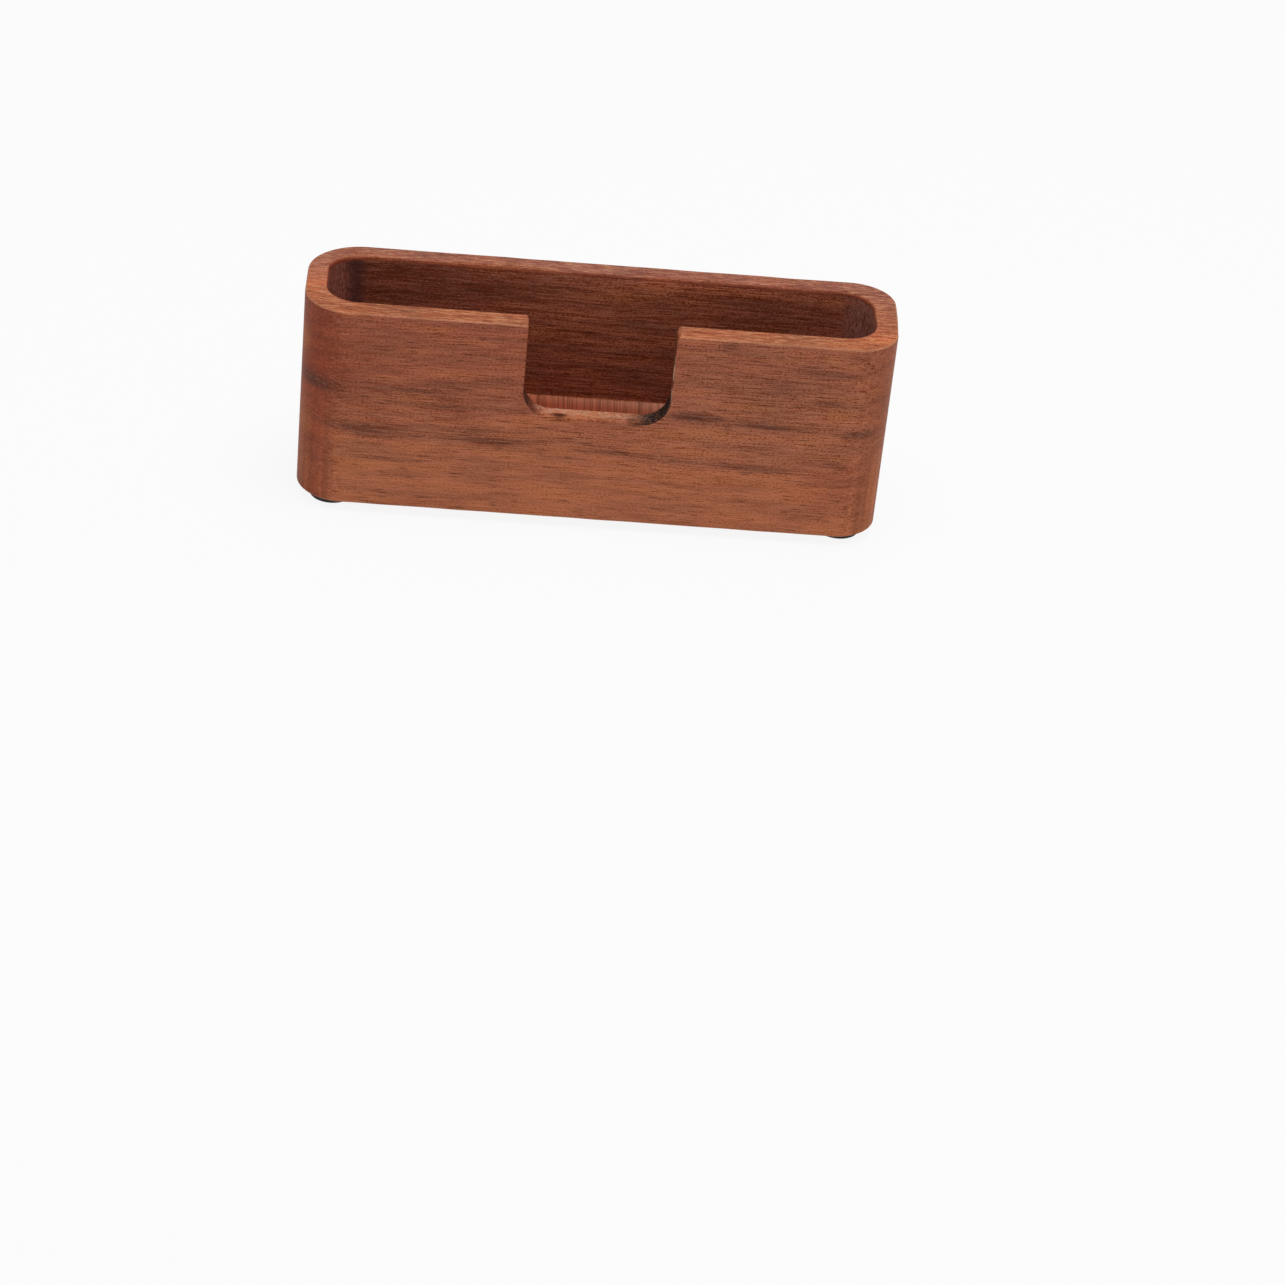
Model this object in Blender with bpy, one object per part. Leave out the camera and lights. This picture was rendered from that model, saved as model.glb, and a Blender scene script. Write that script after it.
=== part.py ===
"""Desk box for business cards.

A walnut block with a milled pocket for a stack of cards on their long edges, a thumb notch
through the front wall, and four rubber feet, each stuck on with a disc of adhesive film.
Metres, +Z up. The notch faces -Y, and the origin is on the desk under the middle of the box.
"""

import math

import bmesh
import bpy

# Wooden body, outside
BODY_LENGTH = 0.105
BODY_DEPTH = 0.027
BODY_HEIGHT = 0.038
CORNER_RADIUS = 0.0085
EDGE_EASE = 0.0005

# Card pocket, open at the top
END_WALL = 0.0038
SIDE_WALL = 0.0043
POCKET_DEPTH = 0.0254
POCKET_CORNER_RADIUS = 0.006

# Thumb notch in the front wall, open at the rim
NOTCH_WIDTH = 0.026
NOTCH_DEPTH = 0.0175
NOTCH_CORNER_RADIUS = 0.005

# Rubber feet, set in from the sides of the body by the margin
FOOT_DIAMETER = 0.008
FOOT_THICKNESS = 0.001
FOOT_EDGE_RADIUS = 0.0004
FOOT_MARGIN = 0.0025

# Adhesive disc between each foot and the wood, drawn in from the rim of the foot
ADHESIVE_THICKNESS = 0.0002
ADHESIVE_INSET = 0.0003
SEAT_GAP = 0.0003

# Facets
CORNER_STEPS = 12
NOTCH_STEPS = 8
EASE_STEPS = 2
FOOT_SIDES = 40
FOOT_EDGE_STEPS = 3
SMOOTH_ANGLE = math.radians(35)

# Heights above the desk
ADHESIVE_BASE = FOOT_THICKNESS + SEAT_GAP
BODY_BASE = ADHESIVE_BASE + ADHESIVE_THICKNESS + SEAT_GAP
RIM = BODY_BASE + BODY_HEIGHT
POCKET_FLOOR = RIM - POCKET_DEPTH

# Colour, roughness
WALNUT = ((0.29, 0.095, 0.048), 0.55)
RUBBER = ((0.012, 0.012, 0.012), 0.75)
ADHESIVE = ((0.62, 0.58, 0.47), 0.40)


def clear_scene():
    for item in list(bpy.data.objects):
        bpy.data.objects.remove(item, do_unlink=True)


def make_material(name, finish):
    colour, roughness = finish
    material = bpy.data.materials.new(name)
    material.use_nodes = True
    shader = material.node_tree.nodes["Principled BSDF"]
    shader.inputs["Base Color"].default_value = (*colour, 1.0)
    shader.inputs["Roughness"].default_value = roughness
    shader.inputs["Metallic"].default_value = 0.0
    return material


def mesh_from(solid, name, material):
    """Turn a finished bmesh into a smooth-shaded mesh that keeps its sharp edges."""
    mesh = bpy.data.meshes.new(name)
    solid.to_mesh(mesh)
    solid.free()
    mesh.shade_smooth()
    mesh.set_sharp_from_angle(angle=SMOOTH_ANGLE)
    mesh.materials.append(material)
    return mesh


def place(name, mesh, parent, location=(0.0, 0.0, 0.0)):
    item = bpy.data.objects.new(name, mesh)
    bpy.context.collection.objects.link(item)
    item.parent = parent
    item.location = location
    return item


def arc(centre, radius, start, turn, steps):
    """Points along an arc, both ends included. Angles are in degrees."""
    points = []
    for step in range(steps + 1):
        angle = math.radians(start + turn * step / steps)
        points.append((centre[0] + radius * math.cos(angle), centre[1] + radius * math.sin(angle)))
    return points


def rounded_rectangle(length, depth, radius):
    """Outline about the origin, counter-clockwise from the right end of the front side."""
    across = length / 2 - radius
    along = depth / 2 - radius
    centres = ((across, -along), (across, along), (-across, along), (-across, -along))
    outline = []
    for corner, centre in enumerate(centres):
        outline += arc(centre, radius, 90 * (corner - 1), 90, CORNER_STEPS)
    return outline


def skin(solid, rings):
    """Join rings of vertices into a closed skin, with a cap on the first and the last."""
    for lower, upper in zip(rings, rings[1:]):
        for here in range(len(lower)):
            solid.faces.new((lower[here - 1], lower[here], upper[here], upper[here - 1]))
    solid.faces.new(reversed(rings[0]))
    solid.faces.new(rings[-1])


def make_body_blank(material):
    """Rounded block with its pocket. The rim, mouth and base edges are marked for easing."""
    outside = rounded_rectangle(BODY_LENGTH, BODY_DEPTH, CORNER_RADIUS)
    pocket_length = BODY_LENGTH - 2 * END_WALL
    pocket_width = BODY_DEPTH - 2 * SIDE_WALL
    pocket = rounded_rectangle(pocket_length, pocket_width, POCKET_CORNER_RADIUS)

    solid = bmesh.new()
    levels = ((outside, BODY_BASE), (outside, RIM), (pocket, RIM), (pocket, POCKET_FLOOR))
    rings = [[solid.verts.new((x, y, height)) for x, y in outline] for outline, height in levels]
    skin(solid, rings)

    eased = solid.edges.layers.float.new("bevel_weight_edge")
    base, rim, mouth = rings[:3]
    for ring in (base, rim, mouth):
        for here in range(len(ring)):
            solid.edges.get((ring[here - 1], ring[here]))[eased] = 1.0
    return mesh_from(solid, "wooden_body", material)


def notch_outline(grow):
    """Notch seen from the front, grown outwards evenly and flared where it meets the rim."""
    half = NOTCH_WIDTH / 2 + grow
    bottom = RIM - NOTCH_DEPTH - grow
    radius = NOTCH_CORNER_RADIUS + grow
    flare = 2 * EDGE_EASE
    top = RIM + EDGE_EASE
    right = arc((half - radius, bottom + radius), radius, -90, 90, NOTCH_STEPS)
    right += [(half, top - flare), (half + flare, top)]
    left = [(-x, z) for x, z in reversed(right)]
    return left + right


def make_notch_cutter():
    """Plug in the shape of the notch, splayed at both faces of the front wall to ease its edges."""
    outer_face = -BODY_DEPTH / 2
    inner_face = outer_face + SIDE_WALL
    splay = 2 * EDGE_EASE
    stations = (
        (outer_face - EDGE_EASE, splay),
        (outer_face + EDGE_EASE, 0.0),
        (inner_face - EDGE_EASE, 0.0),
        (inner_face + EDGE_EASE, splay),
    )
    solid = bmesh.new()
    rings = [[solid.verts.new((x, y, z)) for x, z in notch_outline(grow)] for y, grow in stations]
    skin(solid, rings)
    bmesh.ops.recalc_face_normals(solid, faces=solid.faces)
    mesh = bpy.data.meshes.new("notch_cutter")
    solid.to_mesh(mesh)
    solid.free()
    return mesh


def make_body(parent, material):
    body = place("wooden_body", make_body_blank(material), parent)
    easing = body.modifiers.new("eased_edges", "BEVEL")
    easing.limit_method = "WEIGHT"
    easing.width = EDGE_EASE
    easing.segments = EASE_STEPS

    cutter = place("notch_cutter", make_notch_cutter(), parent)
    cutter.hide_render = True
    cutter.display_type = "WIRE"
    notch = body.modifiers.new("thumb_notch", "BOOLEAN")
    notch.operation = "DIFFERENCE"
    notch.solver = "EXACT"
    notch.object = cutter


def disc(radius, thickness):
    """Round blank standing on z = 0."""
    solid = bmesh.new()
    bmesh.ops.create_cone(
        solid, cap_ends=True, segments=FOOT_SIDES, radius1=radius, radius2=radius, depth=thickness
    )
    bmesh.ops.translate(solid, verts=solid.verts, vec=(0.0, 0.0, thickness / 2))
    return solid


def make_foot(material):
    """Rubber disc with a rounded lower edge."""
    solid = disc(FOOT_DIAMETER / 2, FOOT_THICKNESS)
    tread = [edge for edge in solid.edges if all(vert.co.z < FOOT_THICKNESS / 2 for vert in edge.verts)]
    bmesh.ops.bevel(
        solid, geom=tread, offset=FOOT_EDGE_RADIUS, segments=FOOT_EDGE_STEPS, profile=0.5, affect="EDGES"
    )
    return mesh_from(solid, "foot", material)


def make_adhesive(material):
    solid = disc(FOOT_DIAMETER / 2 - ADHESIVE_INSET, ADHESIVE_THICKNESS)
    return mesh_from(solid, "adhesive", material)


def make_feet(parent, rubber, film):
    """A foot and its adhesive disc under each corner."""
    foot = make_foot(rubber)
    adhesive = make_adhesive(film)
    across = BODY_LENGTH / 2 - FOOT_MARGIN - FOOT_DIAMETER / 2
    along = BODY_DEPTH / 2 - FOOT_MARGIN - FOOT_DIAMETER / 2
    for row, y in (("front", -along), ("rear", along)):
        for side, x in (("left", -across), ("right", across)):
            place(f"foot_{row}_{side}", foot, parent, (x, y, 0.0))
            place(f"adhesive_{row}_{side}", adhesive, parent, (x, y, ADHESIVE_BASE))


def build_card_box():
    clear_scene()
    card_box = place("card_box", None, None)
    make_body(card_box, make_material("oiled_walnut", WALNUT))
    rubber = make_material("black_rubber", RUBBER)
    film = make_material("adhesive_film", ADHESIVE)
    make_feet(card_box, rubber, film)


build_card_box()
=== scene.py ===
"""Dressed model of a walnut desk box for business cards, on a pale floor in soft studio light."""

import math

import bmesh
import bpy
from mathutils import Matrix, Vector, noise


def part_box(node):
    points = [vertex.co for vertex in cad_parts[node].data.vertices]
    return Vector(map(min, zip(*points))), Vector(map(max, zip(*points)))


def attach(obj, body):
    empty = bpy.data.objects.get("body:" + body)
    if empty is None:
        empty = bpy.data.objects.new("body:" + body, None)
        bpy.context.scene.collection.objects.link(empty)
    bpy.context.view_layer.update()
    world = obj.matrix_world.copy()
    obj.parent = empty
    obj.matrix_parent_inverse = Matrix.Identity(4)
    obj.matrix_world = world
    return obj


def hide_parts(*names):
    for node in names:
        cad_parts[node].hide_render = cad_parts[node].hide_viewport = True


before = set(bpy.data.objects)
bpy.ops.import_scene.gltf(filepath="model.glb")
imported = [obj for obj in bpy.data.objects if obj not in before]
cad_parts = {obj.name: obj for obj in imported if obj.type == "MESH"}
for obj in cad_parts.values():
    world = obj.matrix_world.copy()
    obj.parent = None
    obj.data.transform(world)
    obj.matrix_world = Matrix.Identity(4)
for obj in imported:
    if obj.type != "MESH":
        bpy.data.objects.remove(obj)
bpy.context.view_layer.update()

MM = 0.001
BODY = "root"

# Wooden body, from the frame and from the sizes it was cut to
BODY_LOW, BODY_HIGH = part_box("wooden_body")
LENGTH = BODY_HIGH.x - BODY_LOW.x
DEPTH = BODY_HIGH.y - BODY_LOW.y
BASE = BODY_LOW.z
RIM = BODY_HIGH.z
CORNER_RADIUS = 8.5 * MM
FRONT_RIGHT_RADIUS = 7.9 * MM
REAR_RIGHT_RADIUS = 7.5 * MM
REAR_LEFT_RADIUS = 10.3 * MM
EDGE_EASE = 0.45 * MM
EASE_WANDER = 0.07 * MM
EASE_SWELL = 6.0 * MM
EASE_FROM = 0.02 * MM
EASE_TO = 1.0 * MM
RIGHT_END_FULL = 0.4 * MM

# Card pocket
END_WALL = 3.8 * MM
SIDE_WALL = 4.3 * MM
POCKET_CORNER = 6.0 * MM
MOUTH_EASE_FRONT = 0.15 * MM
MOUTH_EASE_ENDS = 0.45 * MM
MOUTH_EASE_BACK = 0.8 * MM
POCKET_FLOOR = RIM - 25.4 * MM
FLOOR_FILLET = 0.25 * MM

# Thumb notch. A lip is the rounding of its edge on one face of the wall: depth, flare of the
# sides, drop of the bottom. The inner lip is where the wood tore out.
NOTCH_HALF = 13.0 * MM
NOTCH_BOTTOM = RIM - 17.5 * MM
NOTCH_CORNER = 5.0 * MM
LEFT_SHOULDER = 0.35 * MM
RIGHT_SHOULDER = 0.85 * MM
FRONT_LIP = (0.5 * MM, 0.15 * MM, 0.6 * MM)
INNER_LIP = (1.4 * MM, 0.4 * MM, 1.7 * MM)
LIP_START = math.radians(20)
SHOULDER_TURN = -68
FRONT_TEAR = 0.10 * MM
INNER_TEAR = 0.55 * MM
TEAR_SIZE = 1.1 * MM
TEAR_LEVEL = 0.2

# Chips out of the bottom edge of the notch at the front: along, half length, depth, and the strength
# of the painted shade in them
CHIPS = (
    (-6.4 * MM, 1.5 * MM, 0.35 * MM, 0.95),
    (6.3 * MM, 0.9 * MM, 0.25 * MM, 0.55),
)

# Feet and their film
FOOT_EDGE = 0.4 * MM
FOOT_SHOULDER = 0.15 * MM
FILM_THICKNESS = 0.2 * MM

# Starts of the unevenness on the easing and on the two torn edges
EASE_SEED = 0.37
FRONT_SEED = 1.9
INNER_SEED = 4.3

# Fineness of the meshes
CORNER_STEPS = 20
LONG_STEPS = 60
SHORT_STEPS = 8
EASE_STEPS = 5
NOTCH_STEPS = 14
NOTCH_FLOOR_STEPS = 64
FOOT_SIDES = 64
FOOT_EDGE_STEPS = 8
SMOOTH_ANGLE = math.radians(40)
FLAT_WEIGHT = 100

# Faces of the body by how they were made
SANDED, MILLED, ROUTED = 0, 1, 2

# Camera of the photograph: a square picture, the lens and the view of the box in it
PHOTO_SIZE = 1285
FOCAL_PIXELS = 3700
SENSOR = 36.0
VIEW_AZIMUTH = math.radians(-3.85)
VIEW_ELEVATION = math.radians(31.54)
VIEW_ROLL = math.radians(5.95)
VIEW_DISTANCE = 671.4 * MM
VIEW_TARGET = Vector((12.0 * MM, -20.0 * MM, BASE - 21.0 * MM))
NEAREST_SEEN = 0.01
FURTHEST_SEEN = 20.0

# Studio
FLOOR_REACH = 6.0
PAPER_GLOW = 0.90
WORLD_LEVEL = 0.30
KEY_PLACE = Vector((0.09, -0.10, 0.90))
KEY_SIZE = (0.70, 0.60)
KEY_WATTS = 6.4

# Settings of nodes that many finishes share: a mix of two colours, a colour times a tint, a product
# and a range with soft ends
BLEND = {"out": 2, "data_type": "RGBA"}
TINT = {**BLEND, "blend_type": "MULTIPLY"}
TIMES = {"operation": "MULTIPLY"}
SOFT = {"interpolation_type": "SMOOTHSTEP"}


def linear(code):
    """Linear colour of an sRGB hex code."""
    channels = [int(code[here:here + 2], 16) / 255 for here in (1, 3, 5)]
    return tuple(c / 12.92 if c <= 0.04045 else ((c + 0.055) / 1.055) ** 2.4 for c in channels) + (1.0,)


def add(tree, kind, sockets, out=0, **settings):
    """Add a shader node, set its options, fill or link its sockets and give back one output.

    Sockets are values in their order on the node, or a dictionary of names or places. A MapRange
    takes a value, the range it comes from and the range it goes to. A Mix takes its share at 0 and
    its colours at 6 and 7.
    """
    node = tree.nodes.new("ShaderNode" + kind)
    for name, value in settings.items():
        setattr(node, name, value)
    filled = sockets.items() if isinstance(sockets, dict) else enumerate(sockets)
    for name, value in filled:
        if isinstance(value, bpy.types.NodeSocket):
            tree.links.new(value, node.inputs[name])
        else:
            node.inputs[name].default_value = value
    return node.outputs[out]


def new_material(name):
    """Empty material with its shader, ready for its nodes."""
    material = bpy.data.materials.new(name)
    material.use_nodes = True
    tree = material.node_tree
    return material, tree, tree.nodes["Principled BSDF"]


def new_piece(name, solid, materials):
    """Turn a finished bmesh into a piece in the scene."""
    mesh = bpy.data.meshes.new(name)
    solid.to_mesh(mesh)
    solid.free()
    for material in materials:
        mesh.materials.append(material)
    piece = bpy.data.objects.new(name, mesh)
    bpy.context.scene.collection.objects.link(piece)
    return piece


def arc(centre, radii, start, turn, steps):
    """Points along a round or oval arc, both ends included. Angles are in degrees."""
    angles = [math.radians(start + turn * step / steps) for step in range(steps + 1)]
    return [(centre[0] + radii[0] * math.cos(a), centre[1] + radii[1] * math.sin(a)) for a in angles]


def divided(ends, steps):
    """Points between two ends, neither included."""
    (x0, y0), (x1, y1) = ends
    shares = [step / steps for step in range(1, steps)]
    return [(x0 + (x1 - x0) * share, y0 + (y1 - y0) * share) for share in shares]


def rounded_rectangle(length, depth, radii):
    """Outline about the origin, counter-clockwise from the front right corner, sides in short runs."""
    corners = []
    for here, (x_side, y_side) in enumerate(((1, -1), (1, 1), (-1, 1), (-1, -1))):
        radius = radii[here]
        centre = (x_side * (length / 2 - radius), y_side * (depth / 2 - radius))
        corners.append(arc(centre, (radius, radius), 90 * (here - 1), 90, CORNER_STEPS))
    outline = []
    for here, corner in enumerate(corners):
        following = corners[(here + 1) % 4]
        steps = SHORT_STEPS if here % 2 == 0 else LONG_STEPS
        outline += corner + divided((corner[-1], following[0]), steps)
    return outline


def wander(x, y, size, seed):
    """Slow unevenness of hand work, between -1 and 1, with swells of this size."""
    return noise.noise(Vector((x / size, y / size, seed)))


def right_end(x, y):
    """How much fuller sanding left the right end behind its front corner."""
    beyond = max(0.0, (x - (LENGTH / 2 - CORNER_RADIUS)) / CORNER_RADIUS)
    past = min(1.0, max(0.0, (y / (DEPTH / 2 - CORNER_RADIUS) + 1) / 2))
    return RIGHT_END_FULL * beyond * past * (2 - past)


def mouth_ease(y):
    """Rounding of the mouth of the pocket: slight at the front, most at the back."""
    share = y / (DEPTH / 2 - SIDE_WALL)
    tilt = (MOUTH_EASE_BACK - MOUTH_EASE_FRONT) / 2
    bend = (MOUTH_EASE_BACK + MOUTH_EASE_FRONT) / 2 - MOUTH_EASE_ENDS
    return MOUTH_EASE_ENDS + tilt * share + bend * share ** 2


def body_rings():
    """Rings of points from the base, over the rim and down the pocket, each with its finish."""
    corner_radii = (FRONT_RIGHT_RADIUS, REAR_RIGHT_RADIUS, REAR_LEFT_RADIUS, CORNER_RADIUS)
    turns = [math.pi / 2 * step / EASE_STEPS for step in range(EASE_STEPS + 1)]
    rings = []

    def outside(inset, height):
        radii = [radius - inset for radius in corner_radii]
        outline = rounded_rectangle(LENGTH - 2 * inset, DEPTH - 2 * inset, radii)
        rings.append(([(x + right_end(x, y), y, height) for x, y in outline], SANDED))

    def pocket_outline(grow):
        size = (LENGTH - 2 * END_WALL + 2 * grow, DEPTH - 2 * SIDE_WALL + 2 * grow)
        return rounded_rectangle(*size, [POCKET_CORNER + grow] * 4)

    for turn in turns:
        outside(EDGE_EASE * (1 - math.sin(turn)), BASE + EDGE_EASE * (1 - math.cos(turn)))
    for turn in turns:
        outside(EDGE_EASE * (1 - math.cos(turn)), RIM - EDGE_EASE * (1 - math.sin(turn)))
    for turn in turns:
        mouth = []
        for (x, y), (wide_x, wide_y) in zip(pocket_outline(0.0), pocket_outline(MM)):
            ease = mouth_ease(y)
            out = ease / MM * (1 - math.sin(turn))
            height = RIM - ease * (1 - math.cos(turn))
            mouth.append((x + (wide_x - x) * out, y + (wide_y - y) * out, height))
        rings.append((mouth, SANDED))
    for turn in turns:
        height = POCKET_FLOOR + FLOOR_FILLET * (1 - math.sin(turn))
        floor = pocket_outline(-FLOOR_FILLET * (1 - math.cos(turn)))
        rings.append(([(x, y, height) for x, y in floor], MILLED))
    return rings


def eased(x, y, z):
    """Height of a point on an eased edge once hand work has made the easing uneven."""
    nearest = min(RIM - z, z - BASE)
    if EASE_FROM < nearest < EASE_TO:
        return z + EASE_WANDER * wander(x, y, EASE_SWELL, EASE_SEED)
    return z


def body_blank(materials):
    """Closed skin of the rounded block with its pocket, before the notch is cut."""
    solid = bmesh.new()
    rings = []
    for points, finish in body_rings():
        rings.append(([solid.verts.new((x, y, eased(x, y, z))) for x, y, z in points], finish))
    for (lower, _), (upper, finish) in zip(rings, rings[1:]):
        for here in range(len(lower)):
            face = solid.faces.new((lower[here - 1], lower[here], upper[here], upper[here - 1]))
            face.material_index = finish
    solid.faces.new(reversed(rings[0][0])).material_index = SANDED
    solid.faces.new(rings[-1][0]).material_index = MILLED
    return new_piece("walnut_body", solid, materials)


def notch_outline(flare, drop, tear):
    """Notch seen from the front, widened and lowered by its lip, with a torn bottom."""
    half = NOTCH_HALF + flare
    bottom = NOTCH_BOTTOM - drop
    radii = (NOTCH_CORNER + flare, NOTCH_CORNER + drop)
    sides = []
    for shoulder in (LEFT_SHOULDER, RIGHT_SHOULDER):
        side = arc((half - radii[0], bottom + radii[1]), radii, -90, 90, NOTCH_STEPS)
        centre = (half + shoulder, RIM - shoulder)
        side += arc(centre, (shoulder, shoulder), 180, SHOULDER_TURN, EASE_STEPS)
        last_x, last_z = side[-1]
        side.append((last_x + shoulder, last_z + shoulder))
        sides.append(side)
    left = [(-x, z) for x, z in reversed(sides[0])]
    outline = left + divided((left[-1], sides[1][0]), NOTCH_FLOOR_STEPS) + sides[1]
    return [(x, z - tear(x) * min(1.0, max(0.0, (half - abs(x)) / radii[0]))) for x, z in outline]


def front_tear(x):
    """Depth torn out of the bottom edge at the front: slight, with two chips."""
    chipped = sum(depth * math.exp(-((x - along) / half) ** 2) for along, half, depth, _ in CHIPS)
    return FRONT_TEAR * max(0.0, TEAR_LEVEL + wander(x, 0.0, TEAR_SIZE, FRONT_SEED)) + chipped


def inner_tear(x):
    """Depth torn out of the bottom edge inside: ragged, and deeper towards the left."""
    ragged = max(0.0, TEAR_LEVEL + wander(x, 0.0, TEAR_SIZE, INNER_SEED))
    return INNER_TEAR * (ragged + max(0.0, -x / NOTCH_HALF))


def notch_cutter(materials):
    """Plug in the shape of the notch, with a lip at both faces of the front wall."""
    sweep = math.pi / 2 - LIP_START
    turns = [LIP_START + sweep * step / EASE_STEPS for step in range(EASE_STEPS + 1)]
    shares = [(1 - math.cos(turn), 1 - math.sin(turn)) for turn in turns]
    shares.insert(0, (shares[0][0] - math.tan(LIP_START), shares[0][1] + 1))
    outer = -DEPTH / 2
    inner = outer + SIDE_WALL
    stations = []
    for sink, spread in shares:
        depth, flare, drop = FRONT_LIP
        stations.append((outer + depth * sink, flare * spread, drop * spread, spread, front_tear))
    for sink, spread in reversed(shares):
        depth, flare, drop = INNER_LIP
        stations.append((inner - depth * sink, flare * spread, drop * spread, spread, inner_tear))
    solid = bmesh.new()
    rings = []
    for y, flare, drop, spread, tear in stations:
        outline = notch_outline(flare, drop, lambda x: tear(x) * min(1, spread))
        rings.append([solid.verts.new((x, y, z)) for x, z in outline])
    for near, far in zip(rings, rings[1:]):
        for here in range(len(near)):
            solid.faces.new((near[here - 1], near[here], far[here], far[here - 1]))
    solid.faces.new(reversed(rings[0]))
    solid.faces.new(rings[-1])
    bmesh.ops.recalc_face_normals(solid, faces=solid.faces)
    for face in solid.faces:
        face.material_index = ROUTED
    return new_piece("notch_cutter", solid, materials)


def make_body(materials):
    """Block with the notch cut out of its front wall."""
    body = body_blank(materials)
    cutter = notch_cutter(materials)
    cut = body.modifiers.new("thumb_notch", "BOOLEAN")
    cut.operation = "DIFFERENCE"
    cut.solver = "EXACT"
    cut.material_mode = "INDEX"
    cut.object = cutter
    evaluated = body.evaluated_get(bpy.context.evaluated_depsgraph_get())
    finished = bpy.data.meshes.new_from_object(evaluated)
    body.modifiers.remove(cut)
    blank = body.data
    body.data = finished
    bpy.data.meshes.remove(blank)
    bpy.data.objects.remove(cutter)
    finished.name = "walnut_body"
    finished.shade_smooth()
    finished.set_sharp_from_angle(angle=SMOOTH_ANGLE)
    flats = body.modifiers.new("flat_faces_stay_flat", "WEIGHTED_NORMAL")
    flats.keep_sharp = True
    flats.weight = FLAT_WEIGHT
    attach(body, BODY)
    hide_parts("wooden_body")


def turned(name, profile, material):
    """Round piece about its own axis from a profile of (radius, height), top to bottom."""
    solid = bmesh.new()
    rings = []
    for radius, height in profile:
        ring = arc((0.0, 0.0), (radius, radius), 0, 360, FOOT_SIDES)[:-1]
        rings.append([solid.verts.new((x, y, height)) for x, y in ring])
    for upper, lower in zip(rings, rings[1:]):
        for here in range(FOOT_SIDES):
            solid.faces.new((lower[here - 1], lower[here], upper[here], upper[here - 1]))
    solid.faces.new(rings[0])
    solid.faces.new(reversed(rings[-1]))
    piece = new_piece(name, solid, [material])
    piece.data.shade_smooth()
    piece.data.set_sharp_from_angle(angle=SMOOTH_ANGLE)
    return piece


def make_feet(rubber, film):
    """Rubber foot and adhesive film under each corner, seated against the wood."""
    for row in ("front", "rear"):
        for side in ("left", "right"):
            low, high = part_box(f"foot_{row}_{side}")
            radius = (high.x - low.x) / 2
            top = BASE - FILM_THICKNESS
            profile = [(radius - FOOT_SHOULDER, top), (radius, top - FOOT_SHOULDER)]
            turn_from = (radius - FOOT_EDGE, low.z + FOOT_EDGE)
            profile += arc(turn_from, (FOOT_EDGE, FOOT_EDGE), 0, -90, FOOT_EDGE_STEPS)
            foot = turned(f"rubber_foot_{row}_{side}", profile, rubber)
            foot.location = ((low.x + high.x) / 2, (low.y + high.y) / 2, 0.0)
            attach(foot, BODY)
            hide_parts(f"foot_{row}_{side}")

            low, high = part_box(f"adhesive_{row}_{side}")
            radius = (high.x - low.x) / 2
            profile = [(radius, BASE), (radius, BASE - FILM_THICKNESS)]
            disc = turned(f"film_{row}_{side}", profile, film)
            disc.location = ((low.x + high.x) / 2, (low.y + high.y) / 2, 0.0)
            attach(disc, BODY)
            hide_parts(f"adhesive_{row}_{side}")


# Oiled wood: its shine, where 0.5 would be a full varnish, its IOR and the strength of its relief
OIL_GLOSS = 0.07
OIL_IOR = 1.5
WOOD_RELIEF = 0.5

# How far up a face looks, from 0 to 1, as it turns into a rim or a floor
FACES_UP = (0.7, 0.95)

# Figure of the wood. Every size is in millimetres. Places are measured from the middle of the block
# along the grain and front to back, and up from its base.
WALNUT_PALE = linear("#c77956")
WALNUT_RED = linear("#b3644d")
WALNUT_BACK = linear("#a05844")
FIBRE_PALE = linear("#dd9673")
FIBRE_DARK = linear("#7f3c1c")
PATCH_SMOKY = linear("#85503f")
PATCH_AMBER = linear("#c4743f")
STREAK_DARK = linear("#4e3937")
PORE_DARK = linear("#3d2018")
END_RED = linear("#923d28")
END_ORANGE = linear("#a45a3b")
GREY_PALE = linear("#c8906f")
SWAY = 0.9
SWAY_SIZE = (36.0, 30.0, 10.0)

# Stretches over which the figure changes: along the faces, at the right, from the notch to the
# right, to the back and to the front, up the face, and where broad blotches turn from orange to red
FACE_SPAN = (-40.0, 40.0)
GREY_SPAN = (8.0, 20.0)
RIGHT_SPAN = (0.0, 18.0)
BACK_SPAN = (-8.0, 11.0)
FORE_SPAN = (4.0, -8.0)
UPPER_SPAN = (12.0, 18.0)
CRISP_SPAN = (8.0, 18.0)
BLOTCH_RISE = 26.0
RED_SPAN = (20.0, 48.0)

# Levels of a grain, from 0 to 1, between which it shows: fraying, crowded and open pores, smoke and
# amber. The fine grain adds up three grains, so its levels are higher.
FRAY_LEVELS = (0.70, 0.30)
CROWD_LEVELS = (0.58, 0.36)
PORE_LEVELS = (0.50, 0.95)
SMOKE_LEVELS = (0.42, 0.75)
AMBER_LEVELS = (0.5, 0.2)
FINE_PALE_LEVELS = (1.20, 1.70)
FINE_DARK_LEVELS = (1.20, 0.70)
FINE_WEIGHT = 0.7

# How much of each shows. A pair goes from one end of its stretch or levels to the other.
END_TURN = (0.62, 0.95)
FRAY_TONES = (0.45, 1.25)
CROWD_IN_BANDS = 0.30
CROWD_IN_STREAKS = 0.6
BACK_SHARE = 0.85
SMOKE_SHARES = (0.27, 0.45)
AMBER_SHARE = 0.5
GREY_SHARES = (0.03, 0.13)
END_SHARE = 0.65
END_LAYER_TONES = (0.65, 1.35)
END_FINE_TONES = (1.0, 0.5)
STREAK_FINE_TONES = (0.80, 1.3)
HEIGHT_FINE_TONES = (0.66, 1.1)
RIGHT_FINE_TONES = (1.0, 1.2)
PORE_SHARES = (0.75, 0.30)
FIBRE_RELIEF = 0.5

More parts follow.
